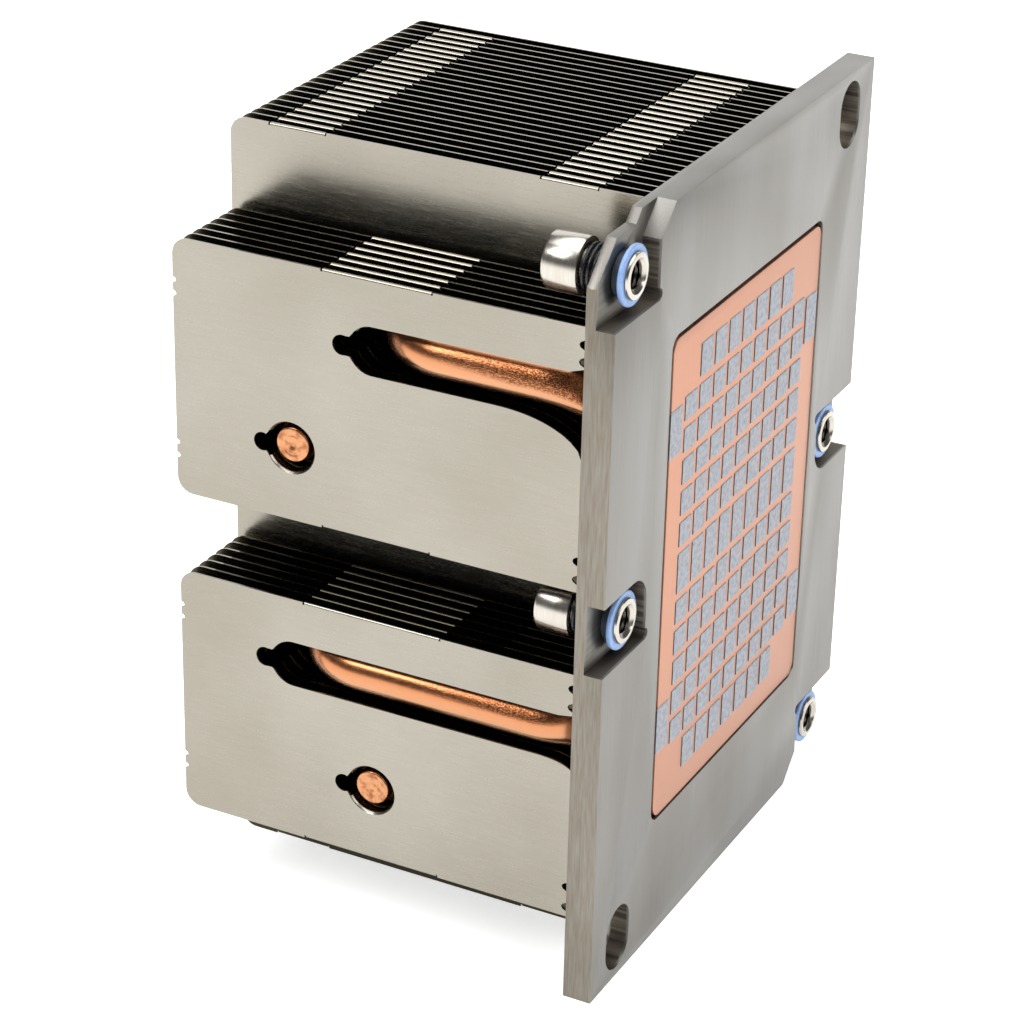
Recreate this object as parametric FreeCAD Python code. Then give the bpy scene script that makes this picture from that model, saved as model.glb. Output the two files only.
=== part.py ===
import FreeCAD, Part
import math
import os

from FreeCAD import Vector

# Passive processor heatsink for a low server. All sizes are millimetres.
# The base plate stands upright on its short edge: its contact face looks along +X and lies in the
# plane x = 0, its long direction is Z, and the fins reach back along -X. The origin is the middle of
# the contact face's lower edge. The layout repeats when the heatsink is turned half round about the
# line through the plate's centre along X, so most pieces are made once and turned for their twin.

# Base plate
plate_width = 81.0
plate_height = 108.0
plate_thickness = 4.0

# Contact block, let into a window in the plate, and the thermal pads on its face
block_side = 16.2
block_height = 70.6
block_offset = 1.0
block_recess = 0.3
block_corner = 1.9
window_clearance = 0.15
pad_thickness = 0.25
pad_side_margin = 0.375
pad_end_margin = 3.83
pad_gap_across = 0.64
pad_gap_down = 0.87
pad_columns = 9
pad_row_count = 5
middle_pad_height = 6.1
end_pad_height = 5.0
ear_pad_extra = 0.1
ear_pad_height = 7.1

# Fins, folded from thin sheet
fin_thickness = 0.3
fin_side_margin = 2.02
fin_reach = 60.0
central_fins = 24
side_fins = 7
fin_top_gap = 0.5
tip_cut = 2.2
tab_depth = 0.35
foot_gap = 0.25
hole_clearance = 0.08
side_hole_sides = 6
central_hole_sides = 6
upper_pack_rise = 5.35
pack_drop = 6.45
upper_pack_inset = 12.45
lower_pack_bottom = 11.15
central_tab_outer = (45.8, 54.0)
central_tab_inner = (6.8, 14.6)
upper_tab = (22.1, 37.7)
lower_tab = (20.4, 40.7)

# Heat pipes: a round condenser leg through the fins, two bends beside the plate's middle and an
# evaporator leg pressed flat, level with the plate's back, in a groove under the contact block
pipe_diameter = 6.0
pipe_flat = 2.8
pipe_bend = 9.0
pipe_level_bend = 10.0
pipe_level_run = 0.5
pipe_swage = 1.0
pipe_swage_cut = 0.6
pipe_sides = 12
pipe_flat_spread = 45.0
pipe_bend_steps = 4
pipe_level_steps = 2
short_pipe_reach = 30.5
short_pipe_height = 32.05
short_pipe_foot = 24.6
long_pipe_reach = 42.45
long_pipe_height = -16.0
long_pipe_foot = -16.4
solder_gap = 0.05
slot_clearance = 0.25
slot_end_sides = 8
short_slot_dip = (13.2, 6.5)
long_slot_dip = (6.6, 1.6)
slot_bevel = 0.8
slot_bevel_length = 4.0

# Captive nuts, their springs and retaining rings
corner_nut_side = 6.6
corner_nut_inset = 6.6
middle_nut_side = 7.3
barrel_radius = 3.8
barrel_length = 4.9
sleeve_radius = 2.6
lip_radius = 3.05
spring_length = 2.9
spring_wire = 0.55
spring_turns = 2
spring_steps = 10
bore_radius = 1.65
bore_depth = 8.0
drive_across_flats = 4.0
drive_sides = 6
drive_depth = 2.5
nut_lip = 0.5
turned_sides = 16
sleeve_sides = 12
ring_thickness = 1.8
ring_radius = 3.9
running_gap = 0.05
end_gap = 0.02

# Pockets round the nuts and guide slots for the socket's posts
floor_thickness = 1.4
pocket_side = 12.5
pocket_half = 4.95
corner_pocket_below = 5.2
corner_pocket_above = 2.8
pocket_round = 4.0
relief_radius = 0.8
relief_sides = 8
floor_cut = 5.0
floor_notch = 1.6
floor_notch_side = 12.0
guide_side = 7.9
guide_inset = 6.0
guide_width = 7.0
guide_length = 9.5

# Corners this nearly in a plane make one flat face (a volume, in cubic millimetres)
flat_enough = 1e-6

# An edge whose direction strays from X by less than this runs along X
stray_allowed = 1e-6

# Worked-out places
plate_middle = plate_height / 2
plate_back = -plate_thickness
pocket_floor = plate_back + floor_thickness
plate_side = plate_width / 2
block_face = -block_recess
block_width = plate_width - 2 * block_side
pad_gaps = (pad_columns + 1) * pad_gap_across
pad_width = (block_width - 2 * (pad_side_margin + ear_pad_extra) - pad_gaps) / (pad_columns + 2)
ear_pad_width = pad_width + ear_pad_extra
pad_length = block_height - 2 * pad_end_margin - (2 * pad_row_count + 2) * pad_gap_down
pad_height = (pad_length - 2 * end_pad_height - middle_pad_height) / (2 * pad_row_count)
fin_total = central_fins + 2 * side_fins
fin_pitch = (plate_width - 2 * fin_side_margin) / (fin_total - 1)
first_fin = -(fin_total - 1) / 2 * fin_pitch
pipe_radius = pipe_diameter / 2
pipe_flat_half = pipe_flat / 2 + math.pi * (pipe_diameter - pipe_flat) / 4
pipe_axis = plate_back + end_gap + pipe_flat / 2
pipe_run = first_fin + pipe_radius
pipe_end = -first_fin - fin_thickness / 2
pipe_foot_end = block_offset + block_width / 2 - pipe_diameter
pocket_inner = plate_side - pocket_side
nut_top = pocket_floor + ring_thickness + 2 * end_gap + nut_lip
shoulder = plate_back - spring_length
barrel_end = shoulder - barrel_length


def turned(shape):
    """The same shape on the other side of the plate's centre."""
    twin = shape.copy()
    twin.rotate(Vector(0, 0, plate_middle), Vector(1, 0, 0), 180)
    return twin


def plate_slice(points, low, high):
    """A prism along X between two depths, from corners given as (y, z)."""
    corners = [Vector(low, y, z) for y, z in points]
    face = Part.Face(Part.makePolygon(corners + corners[:1]))
    return face.extrude(Vector(high - low, 0, 0))


def sheet(points, middle, thickness):
    """A flat sheet across Y, centred on one y, from corners given as (x, z)."""
    corners = [Vector(x, middle - thickness / 2, z) for x, z in points]
    face = Part.Face(Part.makePolygon(corners + corners[:1]))
    return face.extrude(Vector(0, thickness, 0))


def block(x, y, z):
    """A box from its low and high limits on each axis."""
    corner = Vector(x[0], y[0], z[0])
    return Part.makeBox(x[1] - x[0], y[1] - y[0], z[1] - z[0], corner)


def rounded_bar(low, high, y, z, half_width, half_height):
    """A prism along X with half-round ends above and below."""
    straight = half_height - half_width
    bar = block((low, high), (y - half_width, y + half_width), (z - straight, z + straight))
    ends = [
        Part.makeCylinder(half_width, high - low, Vector(low, y, z + side * straight), Vector(1, 0, 0))
        for side in (-1, 1)
    ]
    return bar.fuse(ends).removeSplitter()


def ring_points(radius, y, z, sides):
    """Corners, as (y, z), of a regular outline whose corners lie on the radius."""
    return [
        (y + radius * math.cos(2 * math.pi * k / sides), z + radius * math.sin(2 * math.pi * k / sides))
        for k in range(sides)
    ]


def turned_bar(radius, low, high, y, z, sides=turned_sides):
    """A turned bar along X between two depths, drawn with flat sides to keep the small pieces light."""
    return plate_slice(ring_points(radius, y, z, sides), low, high)


def sleeve_hole(low, high, y, z):
    """The hole that a nut's sleeve turns in: its flats lie just clear of the sleeve."""
    radius = (sleeve_radius + running_gap) / math.cos(math.pi / sleeve_sides)
    return turned_bar(radius, low, high, y, z, sleeve_sides)


def rounded_along_x(shape, radius):
    """The shape with its edges along X rounded."""
    ahead = Vector(1, 0, 0)
    edges = [e for e in shape.Edges if e.tangentAt(e.FirstParameter).cross(ahead).Length < stray_allowed]
    return shape.makeFillet(radius, edges)


def triangle(a, b, c):
    return Part.Face(Part.makePolygon([a, b, c, a]))


def patch(a, b, c, d):
    """The side between two edges: one flat face, or two where the corners don't lie in a plane."""
    twist = (b - a).cross(d - a).dot(c - a)
    if abs(twist) < flat_enough:
        return [Part.Face(Part.makePolygon([a, b, c, d, a]))]
    return [triangle(a, b, c), triangle(a, c, d)]


def skinned(rows):
    """A closed solid through rows of corners, with flat sides between one row and the next."""
    faces = [Part.Face(Part.makePolygon(row + row[:1])) for row in (rows[0], rows[-1])]
    for near, far in zip(rows, rows[1:]):
        for k in range(len(near)):
            following = (k + 1) % len(near)
            faces += patch(near[k], near[following], far[following], far[k])
    solid = Part.Solid(Part.makeShell(faces))
    if solid.Volume < 0:
        solid.reverse()
    return solid


# Heat pipes
def level_angle(drop):
    """How far the foot bend leans so that the pipe comes down by this much before it runs straight."""
    across = pipe_bend + pipe_level_run
    length = math.hypot(across, pipe_level_bend)
    return math.asin((drop - pipe_level_bend) / length) + math.atan2(pipe_level_bend, across)


def pipe_stations(reach, height, foot):
    """The pipe from condenser end to evaporator end, for one that bends on the near side.

    Each station is a centre, the directions of its thickness and its width, how flat it is (0 to 1)
    and how much smaller than the pipe it is drawn.
    """
    x = plate_back - reach
    z = plate_middle + height
    angle = level_angle(height - foot)
    lean = Vector(0, math.cos(angle), -math.sin(angle))
    width = Vector(0, math.sin(angle), math.cos(angle))
    small = 1 - pipe_swage_cut / pipe_radius
    frame = FreeCAD.Rotation(Vector(0, 0, 1), -90)
    leg = (frame.multVec(lean * -1), frame.multVec(width))
    stations = [
        (Vector(x, pipe_end, z), *leg, 0, small),
        (Vector(x, pipe_end - pipe_swage, z), *leg, 0, 1),
    ]
    centre = Vector(x + pipe_bend, pipe_run + pipe_bend, z)
    for step in range(pipe_bend_steps + 1):
        turn = FreeCAD.Rotation(Vector(0, 0, 1), 90 * (step / pipe_bend_steps - 1))
        spoke = turn.multVec(Vector(0, -pipe_bend, 0))
        stations.append((centre + spoke, turn.multVec(lean * -1), turn.multVec(width), 0, 1))
    centre = Vector(pipe_axis - pipe_bend, pipe_run, z) + lean * pipe_bend
    for step in range(pipe_bend_steps + 1):
        part = step / pipe_bend_steps
        out = FreeCAD.Rotation(width, 90 * part).multVec(lean * -1)
        stations.append((centre + out * pipe_bend, out, width, part, 1))
    out = Vector(1, 0, 0)
    start = centre + out * pipe_bend + lean * pipe_level_run
    centre = start + width * pipe_level_bend
    for step in range(pipe_level_steps + 1):
        turn = FreeCAD.Rotation(out, math.degrees(angle) * step / pipe_level_steps)
        spoke = turn.multVec(width)
        stations.append((centre - spoke * pipe_level_bend, out, spoke, 1, 1))
    up = Vector(0, 0, 1)
    foot_z = stations[-1][0].z
    stations.append((Vector(pipe_axis, pipe_foot_end, foot_z), out, up, 1, 1))
    return stations


def pipe_section(centre, out, width, flat, size):
    """The pipe's outline at a station: round where flat is 0, pressed flat where it is 1."""
    spread = math.cos(math.radians(pipe_flat_spread))
    points = []
    for k in range(pipe_sides):
        angle = (k + 0.5) * 2 * math.pi / pipe_sides
        thick = math.cos(angle)
        wide = math.sin(angle)
        flat_thick = max(-1.0, min(1.0, thick / spread)) * pipe_flat / 2
        flat_wide = wide / math.cos(math.pi / pipe_sides) * pipe_flat_half
        at = centre + out * (size * (thick * pipe_radius * (1 - flat) + flat_thick * flat))
        points.append(at + width * (size * (wide * pipe_radius * (1 - flat) + flat_wide * flat)))
    return points


def heat_pipe(stations):
    """A closed tube drawn through its stations."""
    return skinned([pipe_section(*station) for station in stations])


def pipe_groove(stations):
    """The groove for the pressed leg: its middle line widened by half the leg and a solder gap."""
    half = pipe_flat_half + solder_gap
    line = [(centre, width) for centre, out, width, flat, size in stations if flat > 0]
    end = Vector(0, solder_gap, 0)
    line[-1] = (line[-1][0] + end, line[-1][1])
    points = [(at + width * half) for at, width in line] + [(at - width * half) for at, width in line[::-1]]
    floor = plate_back + pipe_flat + end_gap + solder_gap
    return plate_slice([(point.y, point.z) for point in points], plate_back, floor)


pipe_forms = (
    (short_pipe_reach, short_pipe_height, short_pipe_foot),
    (long_pipe_reach, long_pipe_height, long_pipe_foot),
)
pipe_lines = [pipe_stations(*form) for form in pipe_forms]
grooves = [pipe_groove(line) for line in pipe_lines]
grooves += [turned(groove) for groove in grooves]

# Nut places as (y, z), numbered from the top of the near side to the bottom of the far side
nut_places = (
    (corner_nut_side - plate_side, plate_height - corner_nut_inset),
    (middle_nut_side - plate_side, plate_middle),
    (plate_side - middle_nut_side, plate_middle),
    (plate_side - corner_nut_side, corner_nut_inset),
)


def corner_relief(bottom):
    """The cutter's small bite at a pocket's lower inner corner."""
    points = ring_points(relief_radius, -pocket_inner, bottom + relief_radius, relief_sides)
    return plate_slice(points, pocket_floor, 0)


def middle_pocket():
    """The pocket round a middle nut: open to the edge, its upper inner corner round."""
    top = plate_middle + pocket_half
    bottom = plate_middle - pocket_half
    inner = -pocket_inner
    edge = -plate_width
    start = Vector(pocket_floor, inner - pocket_round, top)
    shift = pocket_round * (1 - math.sqrt(0.5))
    bend = Vector(pocket_floor, inner - shift, top - shift)
    end = Vector(pocket_floor, inner, top - pocket_round)
    corner = Vector(pocket_floor, inner, bottom)
    outer_low = Vector(pocket_floor, edge, bottom)
    outer_high = Vector(pocket_floor, edge, top)
    outline = Part.Wire([
        Part.makeLine(outer_high, start),
        Part.Arc(start, bend, end).toShape(),
        Part.makeLine(end, corner),
        Part.makeLine(corner, outer_low),
        Part.makeLine(outer_low, outer_high),
    ])
    pocket = Part.Face(outline).extrude(Vector(-pocket_floor, 0, 0))
    return pocket.fuse(corner_relief(bottom))


def corner_pocket():
    """The pocket round the near corner nut: open to both edges, its inner wall leaning away at the top."""
    y, z = nut_places[0]
    bottom = z - corner_pocket_below
    lean = z + corner_pocket_above
    past = plate_height - lean
    points = (
        (-plate_width, bottom),
        (-pocket_inner, bottom),
        (-pocket_inner, lean),
        (past - pocket_inner, plate_height),
        (-plate_width, plate_height),
    )
    return plate_slice(points, pocket_floor, 0).fuse(corner_relief(bottom))


def corner_cut():
    """What is cut off the floor of the corner pocket: a diagonal corner and a shallow notch beside it."""
    edge = plate_side
    notch_end = floor_notch_side - plate_side
    notch = plate_height - floor_notch
    points = (
        (-edge, notch - floor_cut),
        (floor_cut - edge, notch),
        (notch_end - floor_notch, notch),
        (notch_end, plate_height),
        (-edge, plate_height),
    )
    return plate_slice(points, plate_back, 0)


def base_plate():
    body = block((plate_back, 0), (-plate_side, plate_side), (0, plate_height))
    window_y = block_width / 2 + window_clearance
    window_z = block_height / 2 + window_clearance
    window = block(
        (plate_back, 0),
        (block_offset - window_y, block_offset + window_y),
        (plate_middle - window_z, plate_middle + window_z),
    )
    guide_z = plate_height - guide_inset
    guide = rounded_bar(
        plate_back, 0, plate_side - guide_side, guide_z, guide_width / 2, guide_length / 2
    )
    cuts = [rounded_along_x(window, block_corner + window_clearance), guide, turned(guide)]
    for shape in (middle_pocket(), corner_pocket(), corner_cut()):
        cuts += [shape, turned(shape)]
    cuts += [sleeve_hole(plate_back, pocket_floor, y, z) for y, z in nut_places]
    return body.cut(cuts + grooves).removeSplitter()


def contact_block():
    slug = block(
        (plate_back, block_face),
        (block_offset - block_width / 2, block_offset + block_width / 2),
        (plate_middle - block_height / 2, plate_middle + block_height / 2),
    )
    return rounded_along_x(slug, block_corner).cut(grooves).removeSplitter()


def pad_rows():
    """Each row of pads as its lower edge, its height and how many columns it leaves out at each end."""
    heights = [end_pad_height] + [pad_height] * pad_row_count + [middle_pad_height]
    heights += [pad_height] * pad_row_count + [end_pad_height]
    bottom = plate_middle - (sum(heights) + pad_gap_down * (len(heights) - 1)) / 2
    rows = []
    for number, height in enumerate(heights):
        left_out = 1 if number in (0, len(heights) - 1) else 0
        rows.append((bottom, height, left_out))
        bottom += height + pad_gap_down
    return rows


def pad(y, z, width, height):
    across = (block_offset + y - width / 2, block_offset + y + width / 2)
    return block((block_face, block_face + pad_thickness), across, (z, z + height))


def thermal_pads():
    """The printed grid of pads: rows of nine, shorter end rows and one tall pad beside each corner."""
    rows = pad_rows()
    step = pad_width + pad_gap_across
    middle = (pad_columns - 1) / 2
    pads = []
    for bottom, height, left_out in rows:
        for column in range(left_out, pad_columns - left_out):
            pads.append(pad((column - middle) * step, bottom, pad_width, height))
    ear = middle * step + pad_width / 2 + pad_gap_across + ear_pad_width / 2
    for low_row in (1, len(rows) - 3):
        low = rows[low_row][0]
        high = rows[low_row + 1][0] + pad_height
        bottom = (low + high - ear_pad_height) / 2
        pads += [pad(side * ear, bottom, ear_pad_width, ear_pad_height) for side in (-1, 1)]
    return Part.makeCompound(pads)


# Fins
def fin_place(number):
    """The y of a fin's middle plane, counted from the near side."""
    return first_fin + number * fin_pitch


def fin_blank(number, bottom, top):
    """A flat fin with its tip corners cut."""
    tip = plate_back - fin_reach
    outline = (
        (plate_back, bottom),
        (tip + tip_cut, bottom),
        (tip, bottom + tip_cut),
        (tip, top - tip_cut),
        (tip + tip_cut, top),
        (plate_back, top),
    )
    return sheet(outline, fin_place(number), fin_thickness)


def foot(number, bottom, top):
    """The flange folded from a fin's plate side, reaching almost to the next fin."""
    y = fin_place(number) - fin_thickness / 2
    return block((plate_back - fin_thickness, plate_back), (y, y + fin_pitch - foot_gap), (bottom, top))


def tab(number, span, edge, inward):
    """A lip folded from a fin's upper or lower edge towards the next fin, over a stretch of that edge."""
    y = fin_place(number) - fin_thickness / 2
    z = sorted((edge, edge + inward * fin_thickness))
    return block((plate_back - span[1], plate_back - span[0]), (y, y + fin_thickness + tab_depth), z)


def pipe_hole(number, reach, height, sides):
    """The hole that a condenser leg passes through, its flats just clear of the pipe."""
    corner = (pipe_radius + hole_clearance) / math.cos(math.pi / sides)
    points = ring_points(corner, plate_back - reach, plate_middle + height, sides)
    return sheet(points, fin_place(number), 2 * fin_thickness)


def pipe_slot(number, reach, height, dip):
    """The slot that a bent pipe goes into: open at the plate, and wider there where the pipe comes down."""
    half = pipe_radius + slot_clearance
    z = plate_middle + height
    end = plate_back - reach
    side = half * math.tan(math.pi / slot_end_sides)
    dip_length, dip_depth = dip
    points = (
        (plate_back, z + half + slot_bevel),
        (plate_back - slot_bevel_length, z + half),
        (end - side, z + half),
        (end - half, z + side),
        (end - half, z - side),
        (end - side, z - half),
        (plate_back - dip_length, z - half),
        (plate_back, z - half - dip_depth),
    )
    y = fin_place(number) - fin_thickness
    corners = [Vector(x, y, z_corner) for x, z_corner in points]
    face = Part.Face(Part.makePolygon(corners + corners[:1]))
    return face.extrude(Vector(0, 2 * fin_pitch, 0))


def central_fin(number):
    """A full-height fin: four pipe holes, a foot, and two lips on each short edge.

    The last one closes the stack and stays flat, because the far side's folds come towards it.
    """
    top = plate_height - fin_top_gap
    fin = fin_blank(number, 0, top)
    if number < side_fins + central_fins - 1:
        folds = [foot(number, 0, top)]
        folds += [tab(number, span, 0, 1) for span in (central_tab_outer, central_tab_inner)]
        folds += [tab(number, span, top, -1) for span in (central_tab_outer, central_tab_inner)]
        fin = fin.fuse(folds)
    cuts = []
    for reach, height, foot_height in pipe_forms:
        cuts += [pipe_hole(number, reach, side * height, central_hole_sides) for side in (-1, 1)]
    return fin.cut(cuts).removeSplitter()


def side_fin(number, bottom, top, span, bent, passing):
    """A short fin beside the nuts: a slot for the pipe that bends here, a hole for the one that ends."""
    fin = fin_blank(number, bottom, top)
    folds = [foot(number, bottom, top), tab(number, span, bottom, 1), tab(number, span, top, -1)]
    cuts = [pipe_slot(number, *bent), pipe_hole(number, *passing, side_hole_sides)]
    return fin.fuse(folds).cut(cuts).removeSplitter()


def upper_pack():
    """Near side, above the middle nut."""
    bottom = plate_middle + upper_pack_rise
    top = plate_height - upper_pack_inset
    bent = (short_pipe_reach, short_pipe_height, short_slot_dip)
    passing = (long_pipe_reach, -long_pipe_height)
    return [side_fin(n, bottom, top, upper_tab, bent, passing) for n in range(side_fins)]


def lower_pack():
    """Near side, below the middle nut."""
    top = plate_middle - pack_drop
    bent = (long_pipe_reach, long_pipe_height, long_slot_dip)
    passing = (short_pipe_reach, -short_pipe_height)
    return [side_fin(n, lower_pack_bottom, top, lower_tab, bent, passing) for n in range(side_fins)]


# Captive nuts
def captive_nut(y, z):
    """A turned nut: barrel, sleeve and lip, threaded from the front, with a hexagon drive behind."""
    lip_low = nut_top - nut_lip
    body = turned_bar(barrel_radius, barrel_end, shoulder, y, z)
    sleeve = turned_bar(sleeve_radius, shoulder, lip_low, y, z, sleeve_sides)
    lip = turned_bar(lip_radius, lip_low, nut_top, y, z)
    bore = Part.makeCylinder(bore_radius, bore_depth, Vector(nut_top - bore_depth, y, z), Vector(1, 0, 0))
    drive_corner = drive_across_flats / 2 / math.cos(math.pi / drive_sides)
    hexagon = ring_points(drive_corner, y, z, drive_sides)
    drive = plate_slice(hexagon, barrel_end, barrel_end + drive_depth)
    return body.fuse([sleeve, lip]).cut([bore, drive]).removeSplitter()


def coil_corners(step, y, z):
    """The four corners of the spring's wire at a step along its coil."""
    inner = (sleeve_radius + running_gap) / math.cos(math.pi / spring_steps)
    rise = (spring_length - 2 * end_gap - spring_wire) / (spring_turns * spring_steps)
    angle = 2 * math.pi * step / spring_steps
    low = shoulder + end_gap + rise * step
    corners = []
    for out, along in ((0, 0), (spring_wire, 0), (spring_wire, spring_wire), (0, spring_wire)):
        radius = inner + out
        corners.append(Vector(low + along, y + radius * math.cos(angle), z + radius * math.sin(angle)))
    return corners


def nut_spring(y, z):
    """The compression spring between barrel and plate: square wire wound round the sleeve in flat steps."""
    return skinned([coil_corners(step, y, z) for step in range(spring_turns * spring_steps + 1)])


def retaining_ring(y, z):
    """The ring under the nut's lip that lies on the pocket's floor and keeps the nut in the plate."""
    low = pocket_floor + end_gap
    high = low + ring_thickness
    outer = turned_bar(ring_radius, low, high, y, z)
    return outer.cut(sleeve_hole(low, high, y, z))


def all_parts():
    """Every node's name with its shape."""
    nodes = {
        "base_plate": base_plate(),
        "contact_block": contact_block(),
        "thermal_pads": thermal_pads(),
    }
    short_pipe, long_pipe = [heat_pipe(line) for line in pipe_lines]
    nodes["heat_pipe_1"] = short_pipe
    nodes["heat_pipe_2"] = turned(long_pipe)
    nodes["heat_pipe_3"] = long_pipe
    nodes["heat_pipe_4"] = turned(short_pipe)
    for number in range(central_fins):
        nodes[f"central_fin_{number + 1:02d}"] = central_fin(side_fins + number)
    upper = Part.makeCompound(upper_pack())
    lower = Part.makeCompound(lower_pack())
    nodes["near_upper_fins"] = upper
    nodes["near_lower_fins"] = lower
    nodes["far_lower_fins"] = turned(upper)
    nodes["far_upper_fins"] = turned(lower)
    for number, place in enumerate(nut_places, 1):
        nodes[f"captive_nut_{number}"] = captive_nut(*place)
        nodes[f"nut_spring_{number}"] = nut_spring(*place)
        nodes[f"retaining_ring_{number}"] = retaining_ring(*place)
    return nodes


os.makedirs("parts", exist_ok=True)
for node, shape in all_parts().items():
    shape.exportStep(f"parts/{node}.step")
    print(node, len(shape.Solids), shape.isValid(), round(shape.Volume, 1))
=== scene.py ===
import math

import bmesh
import bpy
from mathutils import Matrix, Vector
from mathutils.geometry import tessellate_polygon


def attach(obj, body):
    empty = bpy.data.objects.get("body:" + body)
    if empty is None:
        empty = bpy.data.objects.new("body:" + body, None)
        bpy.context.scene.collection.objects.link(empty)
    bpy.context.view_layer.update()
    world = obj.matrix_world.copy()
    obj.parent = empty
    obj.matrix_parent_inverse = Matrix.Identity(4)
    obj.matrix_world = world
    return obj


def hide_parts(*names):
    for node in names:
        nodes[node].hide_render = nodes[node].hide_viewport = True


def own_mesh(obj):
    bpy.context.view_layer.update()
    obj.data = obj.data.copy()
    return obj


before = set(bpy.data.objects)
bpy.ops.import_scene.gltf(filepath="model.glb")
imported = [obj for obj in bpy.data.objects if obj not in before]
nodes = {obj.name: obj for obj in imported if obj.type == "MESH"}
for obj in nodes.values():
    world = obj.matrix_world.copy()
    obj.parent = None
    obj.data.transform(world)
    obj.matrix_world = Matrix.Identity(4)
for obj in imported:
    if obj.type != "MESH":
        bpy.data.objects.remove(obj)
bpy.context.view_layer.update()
mm = 0.001
heatsink = "heatsink"

# The base plate's front face lies in x = 0, its lower edge on z = 0, and the fins reach back along -x.
plate = {"back": -4.0, "middle": 54.0, "bevel": 0.28}


def colour(hexCode):
    parts = [int(hexCode[k:k + 2], 16) / 255 for k in (1, 3, 5)]
    return tuple(p / 12.92 if p <= 0.04045 else ((p + 0.055) / 1.055) ** 2.4 for p in parts) + (1.0,)


def addNode(tree, kind, settings=None, links=None):
    node = tree.nodes.new(kind)
    for key, value in (settings or {}).items():
        if isinstance(key, int) or key in node.inputs:
            node.inputs[key].default_value = value
        else:
            setattr(node, key, value)
    for key, source in (links or {}).items():
        tree.links.new(source, node.inputs[key])
    return node


def newFinish(name, base, metallic, roughness):
    material = bpy.data.materials.new(name)
    material.use_nodes = True
    material.diffuse_color = colour(base)
    tree = material.node_tree
    shader = tree.nodes["Principled BSDF"]
    shader.inputs["Base Color"].default_value = colour(base)
    shader.inputs["Metallic"].default_value = metallic
    shader.inputs["Roughness"].default_value = roughness
    place = addNode(tree, "ShaderNodeTexCoord").outputs["Object"]
    return material, tree, shader, place


def grain(tree, place, size, stretch=(1, 1, 1), detail=3.0):
    # noise whose spots are size mm across, longer along an axis by its stretch
    scale = [1 / (size * mm * s) for s in stretch]
    mapping = addNode(tree, "ShaderNodeMapping", {"Scale": scale}, {"Vector": place})
    noise = addNode(tree, "ShaderNodeTexNoise", {"Scale": 1.0, "Detail": detail},
                    {"Vector": mapping.outputs[0]})
    return noise.outputs[0]


def eased(tree, *parts):
    # a part is a share, or a value that goes from low to high between start and end; the parts are multiplied
    whole = None
    for part in parts:
        if isinstance(part, tuple):
            value, low, high, *ends = part
            start, end = ends or (0.3, 0.7)
            spread = {"From Min": start, "From Max": end, "To Min": low, "To Max": high}
            part = addNode(tree, "ShaderNodeMapRange", spread, {"Value": value}).outputs[0]
        if whole is not None:
            part = addNode(tree, "ShaderNodeMath", {"operation": "MULTIPLY"}, {0: whole, 1: part}).outputs[0]
        whole = part
    return whole


def tinted(tree, value, dark, light, start=0.3, end=0.7):
    mix = addNode(tree, "ShaderNodeMix", {"data_type": "RGBA", 6: colour(dark), 7: colour(light)},
                  {0: eased(tree, (value, 0.0, 1.0, start, end))})
    return mix.outputs[2]


def bearings(tree, place):
    # where a point is and the same without signs, then where its face looks and the same without signs
    normal = addNode(tree, "ShaderNodeNewGeometry").outputs["Normal"]
    found = []
    for vector in (place, normal):
        plain = addNode(tree, "ShaderNodeVectorMath", {"operation": "ABSOLUTE"}, {0: vector}).outputs[0]
        found += [addNode(tree, "ShaderNodeSeparateXYZ", {}, {0: part}).outputs for part in (vector, plain)]
    return found


def inMetres(zones):
    return {name: [value * mm for value in ends] for name, ends in zones.items()}


def surfaced(tree, shader, shade, rough=None, relief=None, height=0.0, strength=1.0):
    # gives the shader its colour, its roughness and a relief of height mm
    tree.links.new(shade, shader.inputs["Base Color"])
    if rough:
        tree.links.new(rough, shader.inputs["Roughness"])
    if relief:
        bump = addNode(tree, "ShaderNodeBump", {"Strength": strength, "Distance": height * mm},
                       {"Height": relief})
        tree.links.new(bump.outputs[0], shader.inputs["Normal"])


def finished(mesh, sharpAngle=32):
    # smooth shading, with hard edges where faces meet at more than this angle
    shape = bmesh.new()
    shape.from_mesh(mesh)
    for edge in shape.edges:
        edge.smooth = edge.is_manifold and edge.calc_face_angle(0) < math.radians(sharpAngle)
    for face in shape.faces:
        face.smooth = True
    shape.to_mesh(mesh)
    shape.free()
    mesh.update()
    return mesh


def placed(name, mesh, finish, slot, body, *standsFor):
    mesh.materials.clear()
    mesh.materials.append(finishes[finish])
    mesh.name = name
    piece = bpy.data.objects.new(name, mesh)
    bpy.context.scene.collection.objects.link(piece)
    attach(piece, body)
    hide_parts(*standsFor)
    return piece


def meshOf(shape):
    bmesh.ops.recalc_face_normals(shape, faces=shape.faces)
    mesh = bpy.data.meshes.new("shape")
    shape.to_mesh(mesh)
    shape.free()
    return mesh


def sized(point):
    return Vector(point) * mm


halfTurn = Matrix.Translation((0, 0, plate["middle"] * mm)) @ Matrix.Rotation(math.pi, 4, "X")
halfTurn = halfTurn @ Matrix.Translation((0, 0, -plate["middle"] * mm))


def turnedRound(mesh):
    # the twin of a piece, turned half round about the line through the plate's centre
    twin = mesh.copy()
    twin.transform(halfTurn)
    return twin


def newTree(name, inputs):
    tree = bpy.data.node_groups.new(name, "GeometryNodeTree")
    tree.interface.new_socket("Geometry", in_out="OUTPUT", socket_type="NodeSocketGeometry")
    for label, kind in inputs.items():
        tree.interface.new_socket(label, in_out="INPUT", socket_type="NodeSocket" + kind)
    return tree, tree.nodes.new("NodeGroupInput").outputs


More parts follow.
